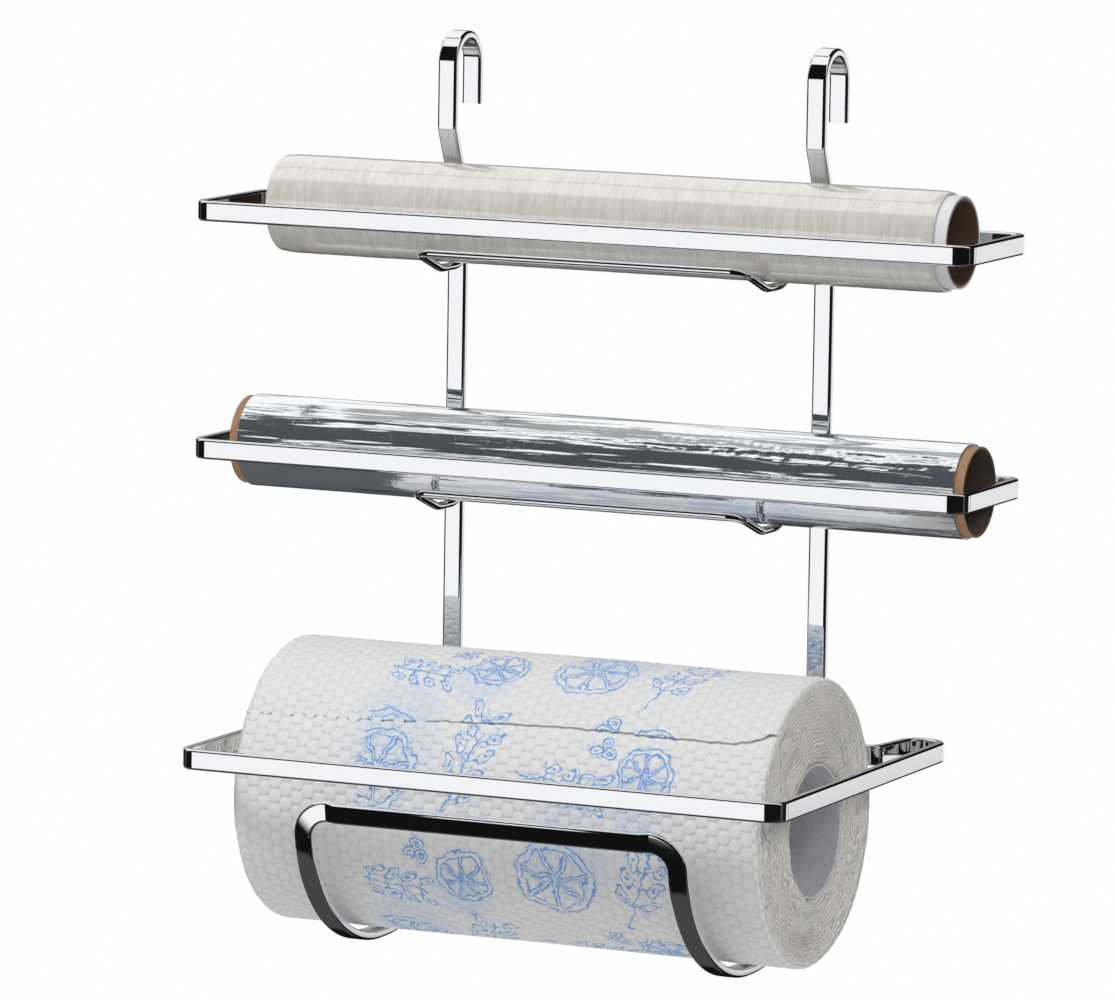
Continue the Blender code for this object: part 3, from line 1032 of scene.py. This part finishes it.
def wrap_sheet(name, centre, span, radius, lap, grid, edge_at, thickness, rule, tuck, lip):
    """A sheet wound from its free edge up over the roll and once round, and tucked in below."""
    bpy.ops.object.select_all(action="DESELECT")
    columns, rows = grid
    bpy.ops.mesh.primitive_grid_add(x_subdivisions=columns, y_subdivisions=rows, size=1.0, calc_uvs=True)
    sheet = bpy.context.object
    sheet.name = name
    sheet.data.name = name
    points = points_of(sheet)
    along = span[0] + (points[:, 0] + 0.5) * (span[1] - span[0])
    run = (points[:, 1] + 0.5) * (2 * math.pi * radius + tuck + lip) - lip
    under = smooth_step(-run, 0, lip / 3)
    angle = np.abs(run) / radius + edge_at(along, np.abs(run))
    far = radius - lap * np.clip(run, 0, None) / (2 * math.pi * radius) - thickness * under
    along, far, angle = rule(along, far, angle, np.abs(run), under)
    back = centre.y - far * np.cos(angle)
    put_points(sheet, np.stack((along, back, centre.z + far * np.sin(angle)), 1))
    corners = np.empty(len(sheet.data.loops), dtype=np.int32)
    sheet.data.loops.foreach_get("vertex_index", corners)
    flat = np.stack((along - span[0], angle * radius), 1)[corners] / uv_unit
    sheet.data.uv_layers[0].data.foreach_set("uv", flat.astype(np.float32).ravel())
    bpy.ops.object.shade_smooth()
    sheet.data.update()
    print(name, "has", len(sheet.data.polygons), "faces")
    return sheet


def faces_outward(sheet, centre):
    """Turn the sheet's faces round if they look at the roll's axis."""
    face = sheet.data.polygons[len(sheet.data.polygons) // 2]
    out = face.center - Vector((face.center.x, centre.y, centre.z))
    if face.normal.dot(out) < 0:
        bpy.ops.object.select_all(action="DESELECT")
        sheet.select_set(True)
        bpy.context.view_layer.objects.active = sheet
        bpy.ops.object.mode_set(mode="EDIT")
        bpy.ops.mesh.select_all(action="SELECT")
        bpy.ops.mesh.flip_normals()
        bpy.ops.object.mode_set(mode="OBJECT")


# %% [markdown]
# Foil creases when it is handled and never smooths out again. Long shallow dents run along the
# roll, and a band by the free edge is crumpled by fingers. The dents are in the mesh, where they
# bend the reflections, and the finest crinkles are bump in the material.

# %% Foil metal
foil_colour = (0.98, 0.985, 0.995, 1.0)
foil_haze_colour = (0.66, 0.79, 0.93, 1.0)
foil_haze = 0.10


def make_foil_metal():
    material, tree, shader = new_material("kitchen_foil", {"Base Color": foil_colour, "Metallic": 1.0})
    place = object_place(tree)
    dents = drawn_noise(tree, place, (14.0, 260.0, 260.0))
    fine = noise(tree, place, 520.0, 3.0)
    crinkle = add_node(tree, "ShaderNodeTexVoronoi", {"Vector": place, "Scale": 260.0}, feature="F2")
    height = times_plus(tree, crinkle.outputs["Distance"], 0.05, times_plus(tree, fine, 0.06, dents))
    plug_in(tree, shader, {
        "Roughness": ramp_between(tree, fine, 0.35, 0.7, 0.08, 0.15),
        "Normal": bump_of(tree, height, 0.7, 0.9 * MM),
    })
    haze = add_node(tree, "ShaderNodeBsdfDiffuse", {"Color": foil_haze_colour})
    mix_shaders(tree, foil_haze, shader, haze)
    return material


# %% [markdown]
# The roll is a plain tube under one wrapped sheet. The sheet's free edge is cut into fine teeth and
# climbs from right to left, because the last piece was torn off at a slant.

# %% Foil roll
foil_gauge = 0.08 * MM
foil_teeth = 1.5 * MM
foil_end_gap = 0.4 * MM
foil_grid = (608, 150)


def make_foil_roll():
    metal = make_foil_metal()
    centre, span, outer = wall_of("foil_winding", "foil_roll_spin")
    inner_span = (span[0] + foil_end_gap, span[1] - foil_end_gap)
    radii = (outer - 0.8 * MM, outer - 0.35 * MM)
    body = spin_tube("foil_turns", centre, inner_span, radii, 0.1 * MM, roll_sides)
    finish_roll_piece(body, "foil_roll", "aluminium_foil", metal, "foil_winding")
    middle = (span[0] + span[1]) / 2

    def edge_at(along, run):
        side = (along - middle) / MM
        line = np.interp(side, (-152, 0, 38, 78, 114, 152), (41, 34.5, 30, 24, 22.5, 19.5))
        tooth = np.abs(((along - span[0]) / foil_teeth) % 1.0 - 0.5) * 0.9 * MM
        wander = 0.8 * MM * rumple(11, along / (9 * MM))
        fade = np.exp(-run / (1.2 * MM))
        return np.radians(line) + (tooth + wander) / outer * fade

    def foil_shape(along, far, angle, run, under):
        place = along / MM
        long_dents = rumple(21, place / 26, 7 * np.cos(angle), 7 * np.sin(angle))
        short_dents = rumple(22, place / 7, 14 * np.cos(angle), 14 * np.sin(angle), waves=14)
        crumpled = np.exp(-(((run / MM) - 4) / 6) ** 2) * smooth_step(place, -60, 60)
        fine = rumple(23, place / 1.6, run / (0.9 * MM), waves=16)
        streaks = rumple(24, place / 34, 15 * np.cos(angle), 15 * np.sin(angle), waves=14)
        creases = rumple(25, place / 16, 34 * np.cos(angle), 34 * np.sin(angle), waves=20)
        depth = 0.18 + 0.07 * long_dents + 0.10 * streaks + 0.04 * short_dents + 0.035 * creases
        depth = depth + crumpled * (0.10 * short_dents + 0.12 * fine)
        return along, far - np.clip(depth, 0, 0.45) * MM, angle

    sheet = wrap_sheet(
        "foil_sheet", centre, span, outer - 0.02 * MM, foil_gauge, foil_grid, edge_at, foil_gauge,
        foil_shape, tuck=5 * MM, lip=1.0 * MM,
    )
    faces_outward(sheet, centre)
    finish_roll_piece(sheet, "foil_roll", "aluminium_foil", metal, "foil_winding")


make_foil_roll()

# %% [markdown]
# The paper roll is the softest thing here. Its ends show the wound layers, as a spiral of some
# twenty wavy ridges that are loose and stand up round the core, and its outer turn is one
# embossed sheet with a torn edge. The body of the roll is spun from a section whose end edges
# are cut fine enough to carry the spiral.

# %% Paper layers' look
layer_colours = ((0.58, 0.56, 0.53, 1.0), (0.90, 0.885, 0.86, 1.0))


def make_layers_paper(centre, pitch):
    """Off-white pulp with thin shadows between the layers, which follow the same spiral."""
    material, tree, shader = new_material("paper_layers", {"Roughness": 0.95})
    place = object_place(tree)
    fuzz = noise(tree, place, 1100.0, 3.0)
    clouds = noise(tree, place, 130.0, 3.0)
    drift = noise(tree, place, 160.0)
    _, far, turn = on_roll(tree, place, tuple(centre))
    spiral = plus(tree, times_plus(tree, far, 2 / pitch, turn), times(tree, drift, 3.0))
    gap = sum_of(tree, "ABSOLUTE", sawtooth(tree, spiral))
    shadow = ramp_between(tree, gap, 0.02, 0.22, 1.0, 0.0)
    broken = times(tree, shadow, ramp_between(tree, clouds, 0.35, 0.6))
    mixed = times_plus(tree, fuzz, 0.5, times(tree, clouds, 0.5))
    tone = times_plus(tree, broken, -0.8, ramp_between(tree, mixed, 0.3, 0.7))
    plug_in(tree, shader, {
        "Base Color": mix_colours(tree, tone, *layer_colours),
        "Normal": bump_of(tree, times_plus(tree, broken, -0.8, fuzz), 0.8, 0.6 * MM),
    })
    return material


# %% [markdown]
# In the shape, each ridge is a fold of the spiral. It is a wave of the distance from the axis that
# also counts the turn, bent by ripples. The ridges are highest just outside the core, sink towards
# the rim, and the whole end sags a little under its own weight.

# %% Paper layers
paper_turns = 20
paper_sag = 3.0 * MM
paper_skin = 1.55 * MM
layers_sides = 360
layers_cuts = 125


def make_paper_layers():
    centre, span, outer = wall_of("paper_winding", "paper_roll_spin")
    core_low, core_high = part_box("paper_core")
    inner = (core_high[2] - core_low[2]) / 2 + 0.35 * MM
    skin = outer - paper_skin
    radii = (inner, skin)
    body = spin_tube("paper_layers", centre, span, radii, 0.6 * MM, layers_sides, end_cuts=layers_cuts)
    middle = (span[0] + span[1]) / 2
    half = (span[1] - span[0]) / 2
    pitch = (skin - inner) / paper_turns

    def layer_shape(along, far, angle):
        side = np.sign(along - middle)
        end = smooth_step(np.abs(along - middle), half - 1.5 * MM, half - 0.7 * MM)
        round_x, round_y = np.cos(angle), np.sin(angle)
        share = (far - inner) / (skin - inner)
        wobble = 0.55 * rumple(31, 5 * share, 3 * round_x, 3 * round_y)
        wobble = wobble + 0.22 * rumple(32, 9 * share, 14 * round_x, 14 * round_y)
        turn = (far - inner) / pitch - side * angle / (2 * math.pi) + wobble
        ridge = 1 - np.abs(np.sin(math.pi * turn)) ** 0.8
        height = 0.85 * ridge * (1 + 0.6 * rumple(33, 8 * share, 5 * round_x, 5 * round_y))
        crest = 2.8 * np.exp(-((share - 0.13) / 0.10) ** 2)
        crest = crest * (1 + 0.35 * rumple(34, 2 * round_x, 2 * round_y, side))
        slump = 0.7 * rumple(35, 3 * share, 1.5 * round_x, 1.5 * round_y, side)
        rim = smooth_step(share, 0.84, 0.97)
        loose = 0.9 * np.exp(-share / 0.25) * rumple(36, 16 * share, 9 * round_x, 9 * round_y)
        heap = np.clip(height + crest + slump + loose, -1.2, 4.0) - 1.4
        out = heap * (1 - rim) + (0.4 * ridge - 0.9) * rim
        drop = paper_sag * (1 - share)
        return along + side * end * out * MM, far, drop

    reshape(body, centre, layer_shape)
    paper = make_layers_paper(centre, pitch)
    finish_roll_piece(body, "paper_roll", "kitchen_paper", paper, "paper_winding")


make_paper_layers()

# %% [markdown]
# The paper is printed in light blue: fruit slices, sprigs of currants and trios of berries, drawn
# with a loose pen over clouds of halftone. Each motif is a node group that gives the distance to
# its nearest stroke, so one pen can draw them all. They share a tile that repeats along the
# sheet, and each column of tiles is half a step lower than the one beside it.

# %% Print motifs
def turned_place(tree, place):
    """The distance of a flat place from the origin, and its direction in turns."""
    parts = parts_of(tree, place)
    return length_of(tree, place), turns_of(tree, parts["Y"], parts["X"])


def smaller(tree, *values):
    return sum_of(tree, "MINIMUM", *values)


def outline_of(tree, distance):
    """How far a place is from the outline of a form that it may be inside or outside."""
    return sum_of(tree, "ABSOLUTE", distance)


def new_motif(name):
    ins = [("Place", "NodeSocketVector", None)]
    group, given, result = new_group(name, ins, [("Distance", "NodeSocketFloat")])
    return group, given.outputs["Place"], result.inputs["Distance"]


def make_slice_group(wedges=7):
    """A round slice of radius one: its rind and its wedges."""
    group, place, wanted = new_motif("fruit_slice")
    far, turn = turned_place(group, place)
    rind = outline_of(group, minus(group, far, 1.0))
    fold = outline_of(group, sawtooth(group, times(group, turn, wedges)))
    spoke = times(group, minus(group, 0.5, fold), times(group, far, 2 * math.pi / wedges))
    wedge = larger(group, minus(group, far, 0.82), minus(group, 0.05, spoke))
    group.links.new(smaller(group, rind, outline_of(group, wedge)), wanted)
    return group


def make_sprig_group(pairs=4):
    """A stem along Y with pairs of currants on short stalks; one pair to each unit of length."""
    group, place, wanted = new_motif("currant_sprig")
    parts = parts_of(group, place)
    side = outline_of(group, parts["X"])
    slant = times_plus(group, side, -0.7, parts["Y"])
    cell = sawtooth(group, slant)
    beyond = larger(group, times(group, slant, -1.0), minus(group, slant, pairs))
    spot = add_node(group, "ShaderNodeCombineXYZ", {0: minus(group, side, 0.72), 1: cell})
    far = length_of(group, spot.outputs[0])
    berry = larger(group, outline_of(group, minus(group, far, 0.33)), beyond)
    eye = larger(group, minus(group, far, 0.05), beyond)
    stalk = larger(group, outline_of(group, cell), minus(group, side, 0.38))
    stalk = larger(group, stalk, beyond)
    ends = larger(group, minus(group, -1.1, parts["Y"]), minus(group, parts["Y"], pairs))
    stem = larger(group, side, ends)
    nearest = smaller(group, smaller(group, berry, eye), smaller(group, stalk, stem))
    group.links.new(nearest, wanted)
    return group


def make_trio_group():
    """Three berries round a point."""
    group, place, wanted = new_motif("berry_trio")
    far, turn = turned_place(group, place)
    angle = times(group, sawtooth(group, times(group, turn, 3.0)), 2 * math.pi / 3)
    spot = add_node(group, "ShaderNodeCombineXYZ", {
        0: minus(group, times(group, far, sum_of(group, "COSINE", angle)), 0.58),
        1: times(group, far, sum_of(group, "SINE", angle)),
    })
    from_berry = length_of(group, spot.outputs[0])
    skin = outline_of(group, minus(group, from_berry, 0.44))
    eye = outline_of(group, minus(group, from_berry, 0.13))
    group.links.new(smaller(group, skin, eye), wanted)
    return group


slice_group = make_slice_group()
sprig_group = make_sprig_group()
trio_group = make_trio_group()
print("motifs:", slice_group.name, sprig_group.name, trio_group.name)

# %% [markdown]
# The tile is worked out in millimetres on the sheet. Each line of the list below sets one motif
# into it: which motif, where, turned by how much, and how large. Soft noise bends the whole
# drawing a little, and breaks the second pen stroke that runs beside the first.

# %% Print
print_span = (41.0, 193.0)
print_width = print_span[1] - print_span[0]
tile_size = (76.0, 86.0)
tile_motifs = [
    (slice_group, (20.0, 25.0), 10.0, 16.0),
    (slice_group, (57.0, 69.0), 40.0, 11.5),
    (sprig_group, (50.0, 11.0), -22.0, 8.5),
    (sprig_group, (11.0, 65.0), -99.0, 7.2),
    (trio_group, (38.0, 79.0), 15.0, 5.5),
]
tile_clouds = [((26.0, 36.0), 21.0), ((54.0, 60.0), 15.0)]
tile_drop = 0.45
hand_wobble = 7.0
far_away = 50.0


def make_print_group():
    """Where the pen's strokes and the halftone clouds lie on the sheet."""
    group, given, result = new_group(
        "blue_print", [("Sheet", "NodeSocketVector", None)],
        [("Stroke", "NodeSocketFloat"), ("Cloud", "NodeSocketFloat")],
    )
    inputs = {0: given.outputs["Sheet"], "Scale": uv_unit / MM}
    place = add_node(group, "ShaderNodeVectorMath", inputs, operation="SCALE").outputs[0]
    inputs = {"Vector": place, "Scale": 0.16, "Detail": 3.0}
    bend = add_node(group, "ShaderNodeTexNoise", inputs)
    away = vector_of(group, "SUBTRACT", bend.outputs["Color"], (0.5, 0.5, 0.5))
    bent = vector_of(group, "MULTIPLY_ADD", away, (hand_wobble, hand_wobble, 0.0), place)
    parts = parts_of(group, bent)
    start = minus(group, parts["X"], print_span[0])
    column = sum_of(group, "FLOOR", sum_of(group, "DIVIDE", start, tile_size[0]))
    tile_x = times_plus(group, column, -tile_size[0], start)
    lowered = times_plus(group, column, tile_size[1] * tile_drop, parts["Y"])
    tile_y = sum_of(group, "FLOORED_MODULO", lowered, tile_size[1])
    tile = add_node(group, "ShaderNodeCombineXYZ", {0: tile_x, 1: tile_y}).outputs[0]
    nearest = far_away
    for motif, spot, turn, size in tile_motifs:
        inputs = {
            "Vector": tile, "Location": (*spot, 0.0), "Rotation": (0.0, 0.0, math.radians(turn)),
            "Scale": (size, size, 1.0),
        }
        local = add_node(group, "ShaderNodeMapping", inputs, vector_type="TEXTURE").outputs[0]
        drawn = add_node(group, "ShaderNodeGroup", {0: local}, node_tree=motif).outputs[0]
        nearest = smaller(group, nearest, times(group, drawn, size))
    shaky = noise(group, place, 1.3, 1.0)
    pen = times_plus(group, shaky, 0.7, minus(group, nearest, 0.35))
    first = ramp_between(group, pen, 0.22, 0.55, 1.0, 0.0)
    beside = sum_of(group, "ABSOLUTE", minus(group, pen, 1.15))
    patchy = ramp_between(group, bend.outputs["Fac"], 0.52, 0.60)
    second = times(group, ramp_between(group, beside, 0.10, 0.34, 0.6, 0.0), patchy)
    inside = window(group, start, 12.0, print_width, 0.5)
    stroke = times(group, larger(group, first, second), inside)
    cloud = 0.0
    for spot, size in tile_clouds:
        far = length_of(group, vector_of(group, "SUBTRACT", tile, (*spot, 0.0)))
        cloud = larger(group, cloud, ramp_between(group, far, size * 0.55, size * 1.15, 1.0, 0.0))
    kept = times(group, cloud, window(group, start, 2.0, print_width - 4.0, 8.0))
    dots = ramp_between(group, noise(group, place, 1.1), 0.3, 0.7, 0.25, 1.0)
    plug_in(group, result, {"Stroke": stroke, "Cloud": times(group, kept, dots)})
    return group


print_group = make_print_group()
print("print of", len(print_group.nodes), "nodes over", round(print_width), "mm of the sheet")

# %% [markdown]
# The sheet itself is embossed all over with rounded cells in staggered columns. Their height is
# both in the mesh, which gives each cell its soft shadow, and in the material, which draws the
# narrow seams between them that the mesh is too coarse for. The material also paints the seams a
# shade darker in colour, as painted shade in the valleys.

# %% Embossed paper
cell_width = 4.75 * MM
cell_height = 5.8 * MM
# The darker of the two paper colours is painted shade, used in the seams between the cells.
paper_and_seam_shade_colours = ((0.755, 0.755, 0.76, 1.0), (0.78, 0.78, 0.785, 1.0))
ink_blue = (0.12, 0.345, 0.74, 1.0)
cloud_blue = (0.50, 0.61, 0.78, 1.0)


def pillow(across, up):
    """Rounded cells in columns, each column half a cell lower than the one beside it."""
    crossed = np.cos(math.pi * across) * np.cos(2 * math.pi * up)
    return smooth_step((2 * crossed + np.cos(2 * math.pi * across)) / 3, -0.50, 0.05)


def make_embossed_paper():
    material, tree, shader = new_material("embossed_paper", {"Roughness": 0.9})
    sheet = add_node(tree, "ShaderNodeUVMap").outputs[0]
    parts = parts_of(tree, sheet)
    across = times(tree, parts["X"], uv_unit * math.pi / cell_width)
    up = times(tree, parts["Y"], uv_unit * 2 * math.pi / cell_height)
    crossed = times(tree, sum_of(tree, "COSINE", across), sum_of(tree, "COSINE", up))
    doubled = sum_of(tree, "COSINE", times(tree, across, 2.0))
    waves = sum_of(tree, "DIVIDE", times_plus(tree, crossed, 2.0, doubled), 3.0)
    cell = ramp_between(tree, waves, -0.50, -0.22)
    fuzz = noise(tree, object_place(tree), 900.0, 3.0)
    # Painted shade: the colour is darker in the seams where the cells dip, plus fibre tone from the fuzz.
    level = times_plus(tree, cell, 0.8, times(tree, fuzz, 0.2))
    drawing = add_node(tree, "ShaderNodeGroup", {0: sheet}, node_tree=print_group).outputs
    colour = mix_colours(tree, level, *paper_and_seam_shade_colours)
    colour = mix_colours(tree, times(tree, drawing["Cloud"], 0.6), colour, cloud_blue)
    colour = mix_colours(tree, times(tree, drawing["Stroke"], 0.85), colour, ink_blue)
    plug_in(tree, shader, {"Base Color": colour, "Normal": bump_of(tree, level, 0.8, 0.5 * MM)})
    return material


# %% [markdown]
# The sheet is wrapped like the foil, with a torn edge instead of a cut one. Near the right end the
# edge curls up a little, both rims are drawn in over the layers, and the tuck hides the sheet's end
# under the first turn.

# %% Paper sheet
emboss_depth = 0.42 * MM
paper_recess = 0.5 * MM
paper_lap = 0.32 * MM
paper_gauge = 0.16 * MM
paper_grid = (230, 428)
paper_rim = 2.6 * MM
edge_points = (-112, -66, -28, 5, 40, 95, 104, 108, 112)
edge_angles = (34, 36, 38, 40, 40.5, 40, 42, 45, 46)
edge_middle = 39


def make_paper_sheet():
    centre, span, outer = wall_of("paper_winding", "paper_roll_spin")
    middle = (span[0] + span[1]) / 2
    half = (span[1] - span[0]) / 2
    radius = outer - paper_recess
    turn_length = 2 * math.pi * radius

    def edge_at(along, run):
        side = (along - middle) / MM
        line = np.interp(side, edge_points, edge_angles)
        torn = 0.35 * MM * rumple(41, along / (1.1 * MM)) + 0.5 * MM * rumple(42, along / (8 * MM))
        tilt = np.radians(line - edge_middle) * np.exp(-run / (30 * MM))
        return math.radians(edge_middle) + tilt + torn / outer * np.exp(-run / (2 * MM))

    def sheet_shape(along, far, angle, run, under):
        side = (along - middle) / MM
        across = (along - span[0]) / cell_width
        up = angle * radius / cell_height
        tucked = smooth_step(run, turn_length - 2 * MM, turn_length + 1 * MM)
        flat_edge = smooth_step(run, 0, 3 * MM) * (1 - tucked)
        proud = emboss_depth * pillow(across, up) * (1 - under) * flat_edge - 0.3 * MM * tucked
        lift = 0.03 * MM * np.exp(-run / (5 * MM)) * (1 + rumple(43, along / (14 * MM)))
        curl = 0.6 * MM * smooth_step(side, 99, 109) * np.exp(-run / (6 * MM))
        hug = 0.17 * MM * np.exp(-run / (4 * MM))
        soft = 0.16 * MM * rumple(44, side / 22, 3 * np.cos(angle), 3 * np.sin(angle))
        rim = np.clip((np.abs(side) * MM - (half - paper_rim)) / paper_rim, 0, 1)
        along = along - np.sign(side) * rim * 0.7 * MM
        far = far + (proud + lift) * (1 - rim) + curl - hug - paper_gauge + soft
        far = far - 2.2 * MM * rim ** 2.4
        return along, far, angle

    sheet = wrap_sheet(
        "paper_sheet", centre, span, radius, paper_lap, paper_grid, edge_at, paper_gauge, sheet_shape,
        tuck=14 * MM, lip=2.5 * MM,
    )
    faces_outward(sheet, centre)
    paper = make_embossed_paper()
    finish_roll_piece(sheet, "paper_roll", "kitchen_paper", paper, "paper_winding")


make_paper_sheet()
